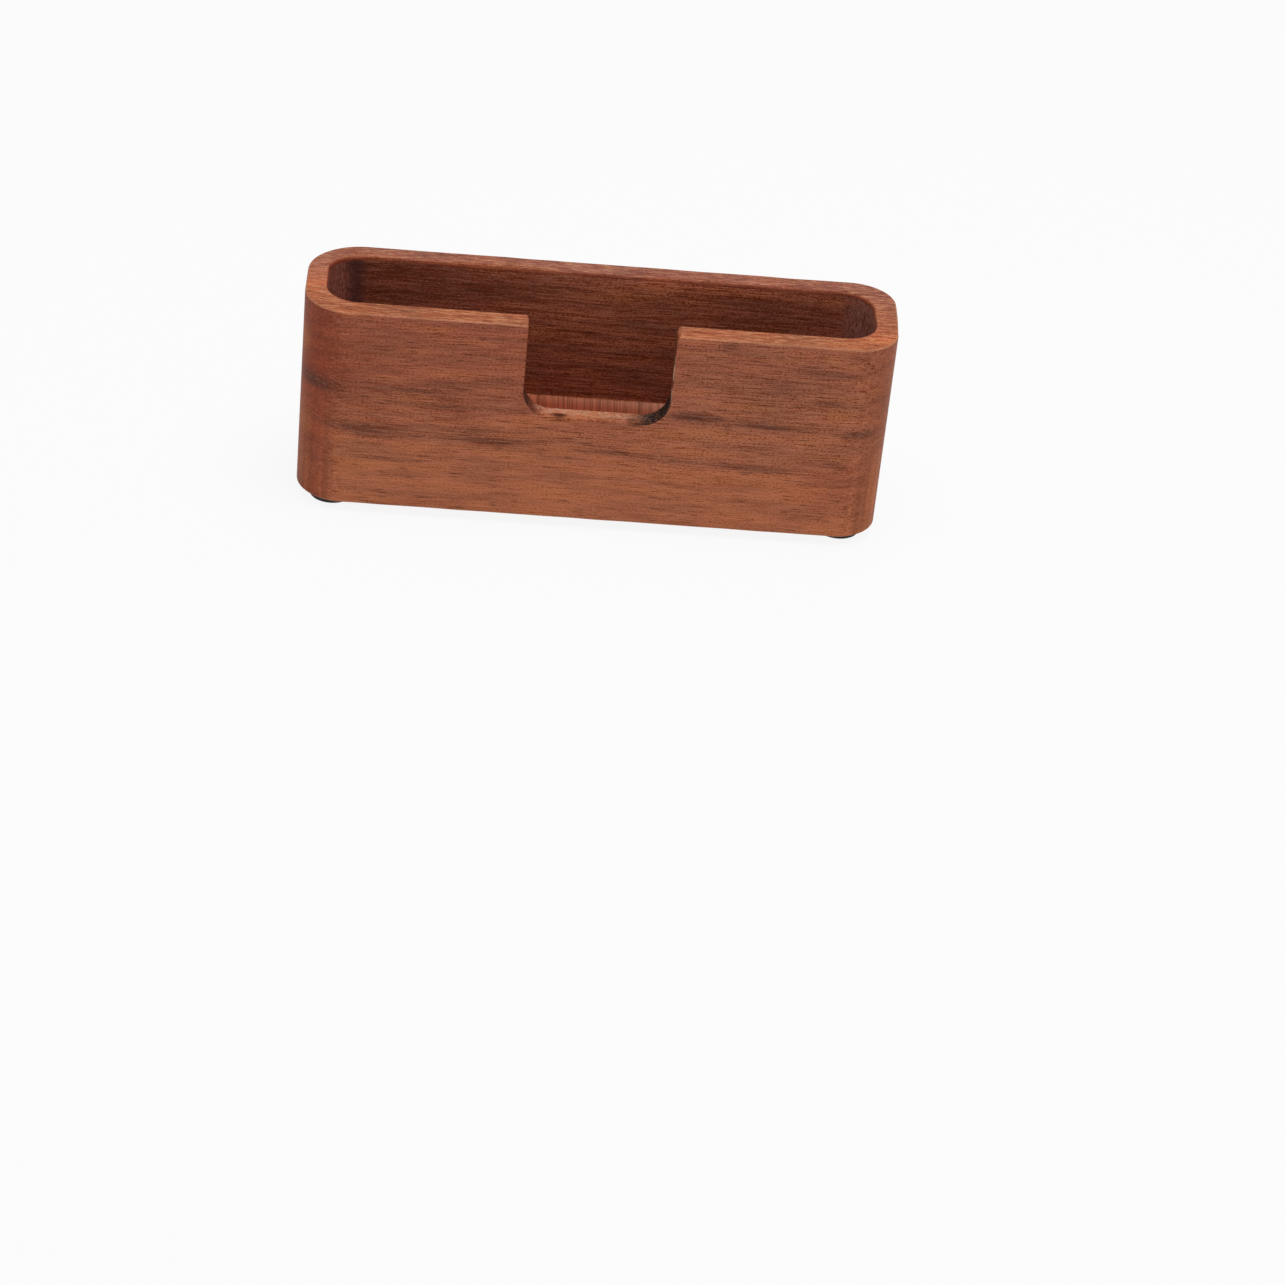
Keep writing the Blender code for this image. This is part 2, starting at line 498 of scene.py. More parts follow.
# Sizes of the grain along, across and up: growth bands, patches, strands, threads, fibres and the
# grit of sanding. The real fibres and grit are finer, and are drawn this coarse so that they show.
BAND_SIZE = (75.0, 12.0, 2.6)
PATCH_SIZE = (13.0, 6.0, 2.0)
STRAND_SIZE = (16.0, 1.8, 1.1)
THREAD_SIZE = (11.0, 0.50, 0.25)
FIBRE_SIZE = (3.6, 0.30, 0.19)
GRIT_SIZE = (0.45, 0.25, 0.22)

# Open pores, cut across as dots in the end grain and lengthways as dashes: length and width of the
# wood that holds one, reach of the dash in it. The real ones are about 0.1 mm wide, and are drawn
# wider so that they show.
END_PORE_SIZE = (6.0, 0.55, 0.55)
PORES = (
    (4.0, 0.36, 0.28),
    (7.5, 0.52, 0.25),
)

# Spindles of coloured wood: how deep they reach from the front, and where their soft edge ends in
# shares of their half sizes
STREAK_DEPTH = 16.0
SPINDLE_EDGE = 1.3

# Dark streaks of the growth layers: along, up, half length, half thickness, strength
DARK_STREAKS = (
    (-49.5, 23.3, 5.0, 1.9, 0.85),
    (-32.0, 23.4, 20.0, 2.6, 0.28),
    (-34.0, 23.6, 9.0, 0.7, 0.45),
    (-26.5, 21.0, 11.0, 0.7, 0.55),
    (-20.0, 26.4, 9.0, 2.0, 0.18),
    (-41.5, 15.2, 7.5, 1.4, 0.58),
    (-28.0, 15.8, 20.0, 2.2, 0.34),
    (-18.0, 14.6, 10.0, 0.8, 0.50),
    (3.0, 13.7, 9.5, 0.7, 0.55),
    (-4.5, 15.6, 7.0, 1.6, 0.28),
    (14.0, 2.8, 9.0, 2.2, 0.22),
    (-35.0, 9.7, 10.0, 0.6, 0.45),
    (17.0, 22.4, 5.5, 1.3, 0.90),
    (30.0, 22.0, 18.0, 1.7, 0.38),
    (31.0, 21.6, 7.5, 0.7, 0.65),
    (46.8, 20.9, 4.2, 1.2, 0.75),
    (17.5, 13.2, 7.0, 0.8, 0.55),
    (29.5, 12.7, 8.5, 1.0, 0.70),
    (31.0, 30.5, 16.0, 4.5, 0.24),
    (41.0, 27.0, 3.2, 1.0, 0.45),
    (42.0, 32.8, 5.5, 1.2, 0.38),
    (42.5, 15.0, 4.0, 1.6, 0.30),
    (47.0, 34.5, 2.6, 1.6, 0.08),
    (22.5, 37.0, 3.0, 0.7, 0.60),
    (-48.5, 6.0, 5.0, 6.0, 0.16),
    (40.0, 16.5, 5.0, 4.0, 0.10),
    (44.5, 27.0, 3.0, 5.0, 0.12),
)

# Amber glows between the streaks: along, up, half length, half thickness, strength
AMBER_GLOWS = (
    (43.0, 24.8, 3.0, 1.8, 0.70),
    (41.0, 35.6, 3.0, 1.1, 0.60),
    (26.0, 25.6, 6.0, 1.4, 0.40),
    (15.0, 18.6, 8.0, 1.6, 0.45),
    (20.0, 10.2, 16.0, 1.8, 0.40),
)

# Amber in the end grain where it comes round the corners: the same measures
END_GLOWS = (
    (-52.2, 30.4, 1.8, 4.2, 0.75),
    (-51.8, 14.2, 2.0, 4.0, 0.65),
    (-51.6, 5.5, 2.2, 5.5, 0.45),
    (51.3, 7.5, 1.8, 9.5, 0.50),
)

# Red flushes beside the corners: along, up, half length, half thickness, strength
RED_FLUSHES = (
    (-46.0, 27.5, 9.5, 10.0, 0.40),
    (44.5, 10.5, 8.5, 9.0, 0.24),
)


def spindles(tree, grain, placed):
    """Sum of soft spindles of coloured wood that start at the front face and run along the grain."""
    total = 0.0
    for along, up, half_length, half_thick, strength in placed:
        front = (along, -DEPTH / 2 / MM, up)
        offset = add(tree, "VectorMath", (grain, front), operation="SUBTRACT")
        extent = (half_length, STREAK_DEPTH, half_thick)
        share = add(tree, "VectorMath", (offset, extent), operation="DIVIDE")
        reach = add(tree, "VectorMath", (share,), out="Value", operation="LENGTH")
        spindle = add(tree, "MapRange", (reach, 0.0, SPINDLE_EDGE, strength, 0.0), **SOFT)
        total = add(tree, "Math", (total, spindle), operation="ADD")
    return total


def walnut_figure(tree, broad_tone, pale_tone, dark_tone):
    """Solid figure of the block with the grain along X, so every face cuts the same wood.

    Gives back the place in the block, which way the face looks, the colour and the relief.
    """
    place = add(tree, "TexCoord", {}, out="Object")
    mm = add(tree, "Mapping", {"Vector": place, "Location": (0, 0, -BASE / MM), "Scale": (1 / MM,) * 3})
    x, y, z = add(tree, "SeparateXYZ", (mm,)).node.outputs
    facing = add(tree, "TexCoord", {}, out="Normal")
    aside = add(tree, "VectorMath", (facing,), operation="ABSOLUTE")
    to_end, _, to_top = add(tree, "SeparateXYZ", (aside,)).node.outputs
    round_to = add(tree, "MapRange", (x, *FACE_SPAN, *END_TURN))
    ends = add(tree, "MapRange", (to_end, 0.0, round_to, 0.0, 1.0), **SOFT)

    # Growth layers lie almost level and sway a little along the grain
    drift = add(tree, "VectorMath", (mm, SWAY_SIZE), operation="DIVIDE")
    wave = add(tree, "TexNoise", {"Vector": drift, "Scale": 1.0, "Detail": 3.0, "Roughness": 0.5})
    rise = add(tree, "Math", (wave, 2 * SWAY, -SWAY), operation="MULTIPLY_ADD")
    level = add(tree, "Math", (z, rise), operation="ADD")
    grain = add(tree, "CombineXYZ", (x, y, level))

    # Depths of grain, from broad bands to grit
    layers = []
    for size in (BAND_SIZE, PATCH_SIZE, STRAND_SIZE, THREAD_SIZE, FIBRE_SIZE, GRIT_SIZE):
        spread = add(tree, "VectorMath", (grain, size), operation="DIVIDE")
        grown = {"Vector": spread, "Scale": 1.0, "Detail": 1.5, "Roughness": 0.65}
        layers.append(add(tree, "TexNoise", grown))
    band, patch, strand, thread, fibre, grit = layers

    # Dark streaks, smoky in the wide and frayed into thin lines by the threads, glows and flushes
    placings = (DARK_STREAKS, AMBER_GLOWS, END_GLOWS, RED_FLUSHES)
    streaks, glows, end_glows, flush = [spindles(tree, grain, placed) for placed in placings]
    frayed = add(tree, "MapRange", (thread, *FRAY_LEVELS, *FRAY_TONES))
    dark = add(tree, "Math", (streaks, frayed), use_clamp=True, **TIMES)

    # Pores crowd in the streaks and in the darker bands
    crowd = add(tree, "MapRange", (band, *CROWD_LEVELS, 0.0, CROWD_IN_BANDS))
    crowd = add(tree, "Math", (streaks, CROWD_IN_STREAKS, crowd), operation="MULTIPLY_ADD")
    pores = 0.0
    for length, width, reach in PORES:
        size = add(tree, "VectorMath", (grain, (length, width, width)), operation="DIVIDE")
        cell = add(tree, "TexVoronoi", {"Vector": size, "Scale": 1.0}, out="Distance")
        chance = add(tree, "SeparateColor", (cell.node.outputs["Color"],))
        drawn = add(tree, "Math", (chance, crowd), operation="ADD")
        open_pore = add(tree, "MapRange", (drawn, *PORE_LEVELS, 0.0, 1.0))
        dash = add(tree, "MapRange", (cell, reach, 0.4 * reach, 0.0, 1.0))
        pore = add(tree, "Math", (dash, open_pore), **TIMES)
        pores = add(tree, "Math", (pores, pore), operation="MAXIMUM")

    # Orange low down and red towards the rim, darker towards the back
    blotch = add(tree, "Math", (band, BLOTCH_RISE, z), operation="MULTIPLY_ADD")
    redness = add(tree, "MapRange", (blotch, *RED_SPAN, 0.0, 1.0))
    colour = add(tree, "Mix", {0: redness, 6: WALNUT_PALE, 7: WALNUT_RED}, **BLEND)
    behind = add(tree, "MapRange", (y, *BACK_SPAN, 0.0, BACK_SHARE), **SOFT)
    colour = add(tree, "Mix", {0: behind, 6: colour, 7: WALNUT_BACK}, **BLEND)
    broad = add(tree, "Math", (band, strand), operation="ADD")
    broad = add(tree, "Math", (broad, patch), operation="SUBTRACT")
    tones = (1.0 - broad_tone, 1.0 + broad_tone)
    shade = add(tree, "MapRange", (broad, 0.0, 1.0, *tones), clamp=False)
    colour = add(tree, "Mix", {0: 1.0, 6: colour, 7: shade}, **TINT)
    smokiest = add(tree, "MapRange", (z, *CRISP_SPAN, *SMOKE_SHARES))
    smoky = add(tree, "MapRange", (patch, *SMOKE_LEVELS, 0.0, smokiest))
    colour = add(tree, "Mix", {0: smoky, 6: colour, 7: PATCH_SMOKY}, **BLEND)
    amber = add(tree, "MapRange", (patch, *AMBER_LEVELS, 0.0, AMBER_SHARE))
    amber = add(tree, "Math", (amber, glows), operation="MAXIMUM")
    colour = add(tree, "Mix", {0: amber, 6: colour, 7: PATCH_AMBER}, **BLEND)

    # The wood is greyer towards the right. The ends drink more oil, cut across the growth layers,
    # and the left one is redder.
    fore = add(tree, "MapRange", (y, *FORE_SPAN, *GREY_SHARES))
    upper = add(tree, "MapRange", (z, *UPPER_SPAN, 0.0, fore))
    upright = add(tree, "MapRange", (to_top, 0.6, 0.3, 0.0, upper))
    greyer = add(tree, "MapRange", (x, *GREY_SPAN, 0.0, upright))
    colour = add(tree, "Mix", {0: greyer, 6: colour, 7: GREY_PALE}, **BLEND)
    colour = add(tree, "Mix", {0: flush, 6: colour, 7: END_RED}, **BLEND)
    rightward = add(tree, "MapRange", (x, *FACE_SPAN, 0.0, 1.0))
    end_grain = add(tree, "Mix", {0: rightward, 6: END_RED, 7: END_ORANGE}, **BLEND)
    layers_across = add(tree, "MapRange", (broad, 0.0, 1.0, *END_LAYER_TONES), clamp=False)
    end_grain = add(tree, "Mix", {0: 1.0, 6: end_grain, 7: layers_across}, **TINT)
    drunk = add(tree, "Math", (ends, END_SHARE), **TIMES)
    colour = add(tree, "Mix", {0: drunk, 6: colour, 7: end_grain}, **BLEND)
    colour = add(tree, "Mix", {0: end_glows, 6: colour, 7: PATCH_AMBER}, **BLEND)

    # Fine grain, crisper in the streaks and up the face than low down
    colour = add(tree, "Mix", {0: dark, 6: colour, 7: STREAK_DARK}, **BLEND)
    fine = add(tree, "Math", (thread, FINE_WEIGHT, grit), operation="MULTIPLY_ADD")
    fine = add(tree, "Math", (fibre, FINE_WEIGHT, fine), operation="MULTIPLY_ADD")
    faded = add(tree, "MapRange", (ends, 0.0, 1.0, *END_FINE_TONES))
    pale = add(tree, "MapRange", (fine, *FINE_PALE_LEVELS, 0.0, pale_tone))
    pale = add(tree, "Math", (pale, faded), **TIMES)
    colour = add(tree, "Mix", {0: pale, 6: colour, 7: FIBRE_PALE}, **BLEND)
    deep = add(tree, "MapRange", (fine, *FINE_DARK_LEVELS, 0.0, dark_tone))
    crisp = add(tree, "MapRange", (streaks, 0.0, 0.6, *STREAK_FINE_TONES))
    deep = add(tree, "Math", (deep, crisp), **TIMES)
    height_tone = add(tree, "MapRange", (z, *CRISP_SPAN, *HEIGHT_FINE_TONES))
    deep = add(tree, "Math", (deep, height_tone), **TIMES)
    right_tone = add(tree, "MapRange", (x, *RIGHT_SPAN, *RIGHT_FINE_TONES))
    deep = add(tree, "Math", (deep, right_tone), **TIMES)
    deep = add(tree, "Math", (deep, faded), **TIMES)
    colour = add(tree, "Mix", {0: deep, 6: colour, 7: FIBRE_DARK}, **BLEND)
    pore_tone = add(tree, "MapRange", (ends, 0.0, 1.0, *PORE_SHARES))
    pore_tone = add(tree, "Math", (pores, pore_tone), **TIMES)
    colour = add(tree, "Mix", {0: pore_tone, 6: colour, 7: PORE_DARK}, **BLEND)
    relief = add(tree, "Math", (fibre, FIBRE_RELIEF), **TIMES)
    relief = add(tree, "Math", (relief, pores), operation="SUBTRACT")
    return (mm, x, y, z), (facing, to_end, to_top), colour, relief


def cut_tubes(tree, mm, to_end, colour):
    """Dark dots of the end grain, drawn coarser than the real 0.1 mm so that they show."""
    spread = add(tree, "VectorMath", (mm, END_PORE_SIZE), operation="DIVIDE")
    tube = add(tree, "TexVoronoi", {"Vector": spread, "Scale": 1.0}, out="Distance")
    dots = add(tree, "MapRange", (tube, 0.42, 0.22, 0.0, 0.45))
    ends = add(tree, "MapRange", (to_end, 0.3, 0.9, 0.0, 0.65), **SOFT)
    dots = add(tree, "Math", (dots, ends), **TIMES)
    return add(tree, "Mix", {0: dots, 6: colour, 7: PORE_DARK}, **BLEND)


def finish_wood(tree, shader, colour, relief, roughness, depth, gloss):
    """Oiled surface: soft gloss, with the pores and fibres as fine relief."""
    bump = add(tree, "Bump", {"Strength": WOOD_RELIEF, "Distance": depth, "Height": relief})
    tree.links.new(colour, shader.inputs["Base Color"])
    tree.links.new(bump, shader.inputs["Normal"])
    shader.inputs["Roughness"].default_value = roughness
    shader.inputs["IOR"].default_value = OIL_IOR
    shader.inputs["Specular IOR Level"].default_value = gloss


ROUTER_LINE = linear("#5a3122")
EDGE_WEAR_AND_HIGHLIGHT = linear("#dba078")
RIM_TINT = linear("#f0e2c1")
RIM_BACK_TINT = linear("#ecedff")
RIM_PALE = linear("#dda578")
RIM_DARK = linear("#63382a")
MOUTH_DARK = linear("#d8c6be")

# Half length and half depth of the line along the rim that parts its worn outer edge, with its painted
# highlight, from the mouth
MOUTH_REACH = (49.3, 10.2, 1.0)

# Stretches over which the rim changes: to its back and its front, round its corners and from end to
# end, with where its corners turn dark behind and pale in front, first at the left, then the right
RIM_BACK = (2.0, 11.0)
RIM_FRONT = (6.0, -8.0)
RIM_CORNER = (42.0, 49.0)
RIM_SPAN = (-50.0, 50.0)
DARK_BEHIND = (7.5, 3.0)
PALE_IN_FRONT = (3.0, -8.0)

# Flecks of the rim and marks of the bit that rounded the corners, with the line where two passes
# met: its place along, half its width, and how it strengthens downwards and from left to right
RIM_FLECK_SIZE = (2.6, 0.24, 5.0)
ROUNDING_SIZE = (1.4, 1.4, 60.0)
PASSES_MEET = 48.6
MEETING_HALF = 0.8
LOW_SPAN = (24.0, 6.0)
CORNER_SPAN = (-44.0, 44.0)

# Tones and shares on the rim and the corners: the rim's corners, dark behind and pale in front, its
# flecks with the level at which each is full, wear with its painted highlight, and the line and marks
# of the bit
CORNER_DARK = 0.86
CORNER_PALE = (1.13, 1.28)
RIM_FLECKS = (
    (RIM_PALE, 0.80),
    (RIM_DARK, 0.20),
)
FLECK_SHARE = 0.9
WEAR_AND_HIGHLIGHT_SHARE = 0.30
MEETING_SHARE = 0.18
FAINT_ABOVE = 0.1
FAINT_LEFT = 0.4
MARK_TONES = (0.84, 1.20)


def walnut_sanded_and_oiled():
    """Outer faces: sanded along the grain and oiled, so the figure is clear and the gloss is low."""
    material, tree, shader = new_material("walnut_sanded_and_oiled")
    figure = walnut_figure(tree, broad_tone=0.22, pale_tone=0.60, dark_tone=2.2)
    (mm, x, y, z), (facing, to_end, to_top), colour, relief = figure
    colour = cut_tubes(tree, mm, to_end, colour)

    # Flecks of the rim, which is more orange along the front, and the paler rounded edges, which are
    # wear with a painted highlight
    _, _, upward = add(tree, "SeparateXYZ", (facing,)).node.outputs
    top = add(tree, "MapRange", (upward, *FACES_UP, 0.0, 1.0))
    behind = add(tree, "MapRange", (y, *RIM_BACK, 0.0, 1.0))
    behind = add(tree, "Math", (behind, top), **TIMES)
    colour = add(tree, "Mix", {0: behind, 6: colour, 7: RIM_BACK_TINT}, **TINT)
    along = add(tree, "Math", (x,), operation="ABSOLUTE")
    corner = add(tree, "MapRange", (along, *RIM_CORNER, 0.0, 1.0))
    corner = add(tree, "Math", (corner, top), **TIMES)
    front_tone = add(tree, "MapRange", (x, *RIM_SPAN, *CORNER_PALE))
    rear_end = add(tree, "MapRange", (x, *RIM_SPAN, *DARK_BEHIND))
    front_end = add(tree, "MapRange", (x, *RIM_SPAN, *PALE_IN_FRONT))
    corner_tone = add(tree, "MapRange", (y, rear_end, front_end, CORNER_DARK, front_tone))
    colour = add(tree, "Mix", {0: corner, 6: colour, 7: corner_tone}, **TINT)
    fore = add(tree, "MapRange", (y, *RIM_FRONT, 0.0, 1.0))
    tint = add(tree, "Math", (top, fore), **TIMES)
    colour = add(tree, "Mix", {0: tint, 6: colour, 7: RIM_TINT}, **TINT)
    spread = add(tree, "VectorMath", (mm, RIM_FLECK_SIZE), operation="DIVIDE")
    fleck = add(tree, "TexNoise", {"Vector": spread, "Scale": 1.0, "Detail": 2.0, "Roughness": 0.7})
    for fleck_colour, full in RIM_FLECKS:
        share = add(tree, "MapRange", (fleck, 0.5, full, 0.0, FLECK_SHARE))
        share = add(tree, "Math", (share, top), **TIMES)
        colour = add(tree, "Mix", {0: share, 6: colour, 7: fleck_colour}, **BLEND)
    # Paler rounded edges outside the mouth: wear, with a painted highlight
    rising = add(tree, "MapRange", (to_top, 0.1, 0.5, 0.0, WEAR_AND_HIGHLIGHT_SHARE))
    falling = add(tree, "MapRange", (to_top, 0.995, 0.9, 0.0, 1.0))
    wear_and_highlight = add(tree, "Math", (rising, falling), **TIMES)
    outside = add(tree, "VectorMath", (mm, MOUTH_REACH), operation="DIVIDE")
    outside = add(tree, "VectorMath", (outside,), operation="ABSOLUTE")
    past_ends, past_sides, _ = add(tree, "SeparateXYZ", (outside,)).node.outputs
    outside = add(tree, "Math", (past_ends, past_sides), operation="MAXIMUM")
    outside = add(tree, "Math", (outside, 1.0), operation="GREATER_THAN")
    wear_and_highlight = add(tree, "Math", (wear_and_highlight, outside), **TIMES)
    colour = add(tree, "Mix", {0: wear_and_highlight, 6: colour, 7: EDGE_WEAR_AND_HIGHLIGHT}, **BLEND)

    # The rounded mouth darkens into the pocket
    inward = add(tree, "MapRange", (to_top, 0.99, 0.55, 0.0, 1.0))
    inward = add(tree, "MapRange", (outside, 1.0, 0.0, 0.0, inward))
    colour = add(tree, "Mix", {0: inward, 6: colour, 7: MOUTH_DARK}, **TINT)

    # Faint upright line where two passes of the rounding bit met on each corner
    away = add(tree, "Math", (along, PASSES_MEET), operation="SUBTRACT")
    away = add(tree, "Math", (away,), operation="ABSOLUTE")
    line = add(tree, "MapRange", (away, 0.0, MEETING_HALF, MEETING_SHARE, 0.0), **SOFT)
    low = add(tree, "MapRange", (z, *LOW_SPAN, FAINT_ABOVE, 1.0))
    line = add(tree, "Math", (line, low), **TIMES)
    right = add(tree, "MapRange", (x, *CORNER_SPAN, FAINT_LEFT, 1.0))
    line = add(tree, "Math", (line, right), **TIMES)
    upright = add(tree, "MapRange", (to_top, 0.3, 0.1, 0.0, 1.0))
    line = add(tree, "Math", (line, upright), **TIMES)
    colour = add(tree, "Mix", {0: line, 6: colour, 7: ROUTER_LINE}, **BLEND)

    # Upright marks of the rounding bit on the corners
    spread = add(tree, "VectorMath", (mm, ROUNDING_SIZE), operation="DIVIDE")
    mark = add(tree, "TexNoise", {"Vector": spread, "Scale": 1.0, "Detail": 1.0})
    mark = add(tree, "MapRange", (mark, 0.30, 0.70, *MARK_TONES))
    turning = add(tree, "MapRange", (to_end, 0.05, 0.30, 0.0, 1.0))
    turning = add(tree, "Math", (turning, upright), **TIMES)
    turning = add(tree, "Math", (turning, low), **TIMES)
    colour = add(tree, "Mix", {0: turning, 6: colour, 7: mark}, **TINT)
    finish_wood(tree, shader, colour, relief, roughness=0.5, depth=0.06 * MM, gloss=OIL_GLOSS)
    return material


CUTTER_GREY = linear("#9b7067")
CORNER_SHADE_DARK = linear("#3a2a30")
FLOOR_RED = linear("#8c4f39")
FLOOR_GREY = linear("#855f4f")
FLOOR_FRONT_SHADOW = linear("#d1aea1")

# Marks of the cutter: chatter and passes, then the place and half width of the band of painted shade
# in the left corner of the pocket
CHATTER_SIZE = (0.32, 0.32, 1.0)
PASS_SIZE = (0.21, 20.0, 20.0)
CORNER_SHADE_PLACE = -44.1
CORNER_SHADE_HALF = 2.8

# Stretches over which the pocket changes: up its walls, where painted shade deepens, where painted
# light lifts them under the rim and along them, from end to end, and on the floor to the right and to
# the front, where a painted shadow falls
WALL_SHADE_SPAN = (12.0, 30.0)
LIT_UNDER_RIM = (34.5, 37.4)
LIT_ALONG_SPAN = (-40.0, -5.0)
POCKET_SPAN = (-45.0, 45.0)
FLOOR_RIGHT = (-10.0, 22.0)
FLOOR_SHADOW_SPAN = (8.6, 5.6)

# Tones and shares in the pocket: walls with their painted shade, the painted light under the rim,
# chatter, the grey of the left end, held back there as painted shade, the painted shade in the left
# corner, and the scraped floor with its passes
WALL_AND_SHADE_TONES = (0.71, 0.90)
PAINTED_LIGHT_TONES = (1.0, 1.38)
CHATTER_SHARES = (0.15, 1.0)
CHATTER_TONES = (0.62, 1.36)
GREY_LEFT_IN_SHADE = 0.6
CORNER_SHADE_SHARE = 0.65
SCRAPED_SHARE = 0.85
PASS_TONES = (0.89, 2.10)


def walnut_milled_pocket():
    """Pocket as the cutter left it: chatter marks round the ends and passes across the floor."""
    material, tree, shader = new_material("walnut_milled_pocket")
    figure = walnut_figure(tree, broad_tone=0.42, pale_tone=0.70, dark_tone=3.7)
    (mm, x, y, z), (_, to_end, to_top), colour, relief = figure

    # Darker than the sanded faces, most of all low down and least just under the rim: the darkening
    # with depth is painted shade, and the lift under the rim, most towards the middle, is painted light
    wall_tone_and_shade = add(tree, "MapRange", (z, *WALL_SHADE_SPAN, *WALL_AND_SHADE_TONES))
    lifted = add(tree, "MapRange", (x, *LIT_ALONG_SPAN, *PAINTED_LIGHT_TONES))
    upper = add(tree, "MapRange", (z, *LIT_UNDER_RIM, 1.0, lifted), **SOFT)
    wall_tone_and_shade = add(tree, "Math", (wall_tone_and_shade, upper), **TIMES)
    colour = add(tree, "Mix", {0: 1.0, 6: colour, 7: wall_tone_and_shade}, **TINT)

    # Grey, chattered end grain, made paler at the right end by painted light and held back at the left
    # end as painted shade
    spread = add(tree, "VectorMath", (mm, CHATTER_SIZE), operation="DIVIDE")
    chatter = add(tree, "TexNoise", {"Vector": spread, "Scale": 1.0, "Detail": 2.0})
    ends = add(tree, "MapRange", (to_end, 0.0, 0.70, 0.0, 1.0), **SOFT)
    stripe = add(tree, "MapRange", (chatter, 0.35, 0.65, *CHATTER_SHARES))
    grey = add(tree, "Math", (ends, stripe), **TIMES)
    rightward = add(tree, "MapRange", (x, *POCKET_SPAN, GREY_LEFT_IN_SHADE, 1.0))
    grey = add(tree, "Math", (grey, rightward), **TIMES)
    colour = add(tree, "Mix", {0: grey, 6: colour, 7: CUTTER_GREY}, **BLEND)
    dashes = add(tree, "MapRange", (chatter, 0.32, 0.68, *CHATTER_TONES))
    colour = add(tree, "Mix", {0: ends, 6: colour, 7: dashes}, **TINT)

    # Dark upright band of painted shade where the left end of the pocket turns into its long walls
    away = add(tree, "Math", (x, CORNER_SHADE_PLACE), operation="SUBTRACT")
    away = add(tree, "Math", (away,), operation="ABSOLUTE")
    corner_shade = add(tree, "MapRange", (away, 0.0, CORNER_SHADE_HALF, CORNER_SHADE_SHARE, 0.0), **SOFT)
    wall = add(tree, "MapRange", (to_top, 0.5, 0.2, 0.0, 1.0))
    corner_shade = add(tree, "Math", (corner_shade, wall), **TIMES)
    colour = add(tree, "Mix", {0: corner_shade, 6: colour, 7: CORNER_SHADE_DARK}, **BLEND)

    # Passes of the cutter across the floor, greyer towards the right, with a painted shadow of the
    # front wall darkening it towards the front
    spread = add(tree, "VectorMath", (mm, PASS_SIZE), operation="DIVIDE")
    passes = add(tree, "TexNoise", {"Vector": spread, "Scale": 1.0, "Detail": 2.0})
    floor = add(tree, "MapRange", (to_top, *FACES_UP, 0.0, 1.0))
    greyed = add(tree, "MapRange", (x, *FLOOR_RIGHT, 0.0, 1.0))
    scraped = add(tree, "Mix", {0: greyed, 6: FLOOR_RED, 7: FLOOR_GREY}, **BLEND)
    covered = add(tree, "Math", (floor, SCRAPED_SHARE), **TIMES)
    colour = add(tree, "Mix", {0: covered, 6: colour, 7: scraped}, **BLEND)
    stripe = add(tree, "MapRange", (passes, 0.3, 0.7, *PASS_TONES))
    colour = add(tree, "Mix", {0: floor, 6: colour, 7: stripe}, **TINT)
    front_wall_shadow = add(tree, "MapRange", (y, *FLOOR_SHADOW_SPAN, 0.0, 1.0))
    front_wall_shadow = add(tree, "Math", (front_wall_shadow, floor), **TIMES)
    colour = add(tree, "Mix", {0: front_wall_shadow, 6: colour, 7: FLOOR_FRONT_SHADOW}, **TINT)
    finish_wood(tree, shader, colour, relief, roughness=0.65, depth=0.08 * MM, gloss=OIL_GLOSS)
    return material


TORN_PALE = linear("#be9e84")
CHIP_SHADE = linear("#4a281b")
SCORCH = linear("#2b2523")
FUZZ_PALE = linear("#dfb89a")
SIDE_DARK = linear("#5f3d2e")

# Scorch in each corner of the notch: along where it starts and where it is full, strength, and how
# far it stays above the bottom
SCORCHES = (
    (5.2, 9.7, 1.25, -3.0),
    (-8.6, -11.8, 0.95, -0.6),
)

# How ragged the scorch is, how softly it starts, and where it ends above the bottom
SCORCH_JAG = 1.6
SCORCH_FADE = 2.6
SCORCH_TOP = (6.4, 3.6)

# Sizes of torn fibres and of tufts of fuzz along, across and up. The real ones are finer, and are
# drawn this coarse so that they show.
TORN_SIZE = (0.7, 0.30, 0.30)
TUFT_SIZE = (1.4, 1.4, 2.4)

# Stretches through the wall, and up its side, over which the notch changes: torn fibres, the dull
# front edge with its chips, and the fuzz below the rim at the front
TORN_SPAN = (-13.2, -11.6)
DULL_SPAN = (-11.9, -12.9)
CHIP_PLACE = -12.7
CHIP_REACH = 0.85
CHIP_SPREAD = 1.2
FUZZ_FORE = (-12.2, -13.0)
FUZZ_BELOW = (34.5, 32.5)
ANY_HEIGHT = 1e6

# Levels between which fibres and tufts show, and shares and tones: torn fibres from front to back,
# the dull edge, the soft edge of a chip, the dark side and the rough scorch
TORN_LEVELS = (0.47, 0.60)
TUFT_LEVELS = (0.43, 0.58)
TORN_SHARES = (0.25, 0.85)
DULL_TONES = (1.0, 0.82)
CHIP_EDGE = (0.3, 1.2)
SIDE_SHARE = 0.6
SCORCH_SHARES = (0.45, 1.0)


